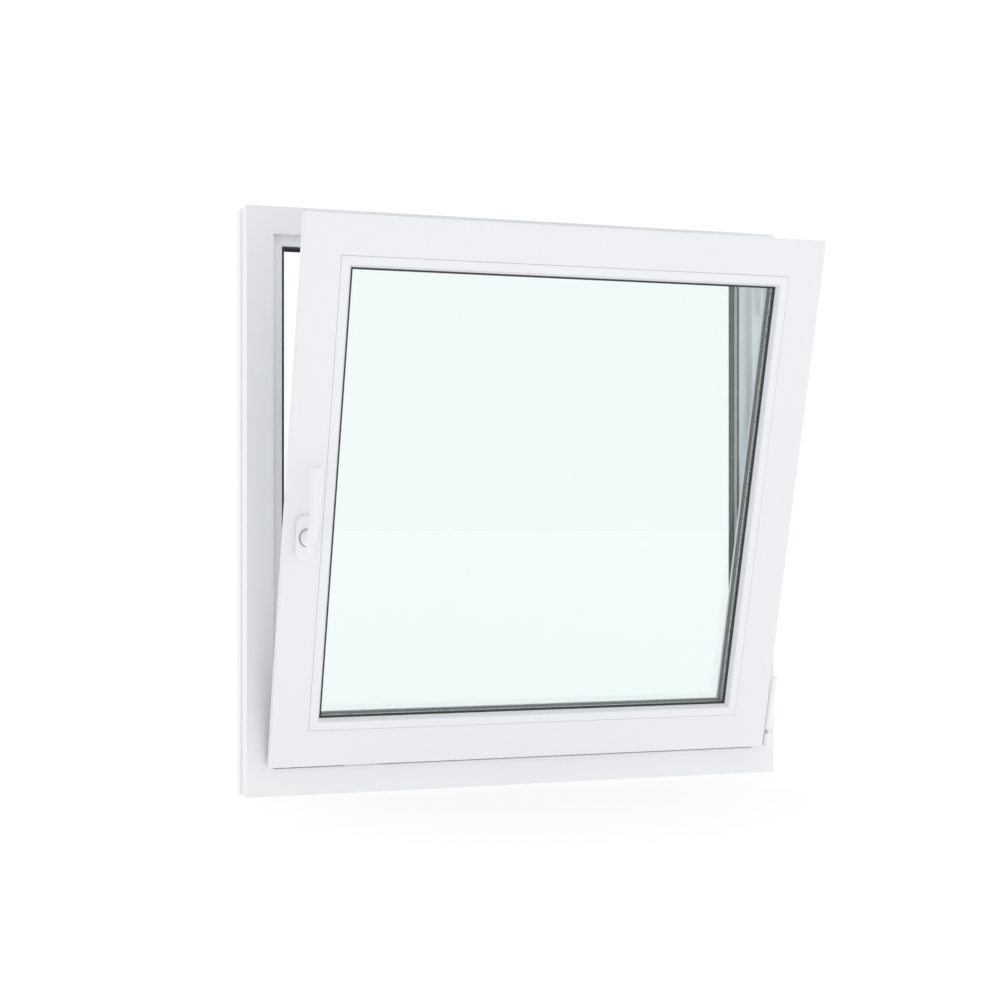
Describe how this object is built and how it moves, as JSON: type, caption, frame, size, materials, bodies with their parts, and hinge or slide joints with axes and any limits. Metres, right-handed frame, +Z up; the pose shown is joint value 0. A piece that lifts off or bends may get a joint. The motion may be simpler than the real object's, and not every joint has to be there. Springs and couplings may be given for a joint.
{
  "type": "tilt and turn window",
  "caption": "White plastic tilt and turn window, its double-glazed sash standing tilted into the room, with a lever handle, hinges and locking gear.",
  "frame": {"origin": "middle of the flat land on the room side of the sill's underside, at half the width", "axes": "+Z up, +X to the hinge side seen from the room, +Y from the room to the outside"},
  "size_m": [1, 0.3281, 1],
  "materials": {
    "frame_pvc": "smooth white PVC with a soft gloss",
    "sash_pvc": "smooth white PVC with a soft gloss",
    "bead_pvc": "smooth white PVC with a soft gloss",
    "cap_pvc": "moulded white plastic",
    "black_rubber": "matt black rubber",
    "clear_glass": "clear float glass, faintly green",
    "spacer_grey": "dark grey composite edge",
    "handle_white": "white powder coat",
    "hinge_white": "white covers over steel",
    "hardware_steel": "satin zinc plate"
  },
  "bodies": {
    "window": {"bead_bottom": "bead_pvc", "bead_left": "bead_pvc", "bead_right": "bead_pvc", "bead_top": "bead_pvc", "corner_bearing": "hinge_white", "corner_hinge_leaf": "hinge_white", "corner_pin": "hardware_steel", "frame_centre_seal": "black_rubber", "frame_head": "frame_pvc", "frame_left_jamb": "frame_pvc", "frame_outer_seal": "black_rubber", "frame_right_jamb": "frame_pvc", "frame_sill": "frame_pvc", "gear_bottom": "hardware_steel", "gear_left": "hardware_steel", "gear_right": "hardware_steel", "gear_top": "hardware_steel", "glass_inner_gasket": "black_rubber", "glass_inner_pane": "clear_glass", "glass_outer_gasket": "black_rubber", "glass_outer_pane": "clear_glass", "glass_spacer": "spacer_grey", "handle_rosette": "handle_white", "head_keep": "hardware_steel", "jamb_keep_left": "hardware_steel", "jamb_keep_right": "hardware_steel", "sash_bottom_rail": "sash_pvc", "sash_left_stile": "sash_pvc", "sash_overlap_seal": "black_rubber", "sash_right_stile": "sash_pvc", "sash_top_rail": "sash_pvc", "sill_drain_caps": "cap_pvc", "sill_tilt_keep": "hardware_steel", "stay_arm": "hardware_steel", "stay_bearing": "hinge_white", "stay_pin": "hardware_steel", "stay_slider": "hardware_steel"},
    "handle": {"handle_lever": "handle_white", "handle_spindle": "hardware_steel"}
  },
  "joints": [
    {"name": "handle_turn", "type": "hinge", "parent": "window", "child": "handle", "pos_m": [-0.4305, -0.13552, 0.44078], "axis": [0, 0.9673, 0.2538], "range_deg": [0, 180]}
  ]
}
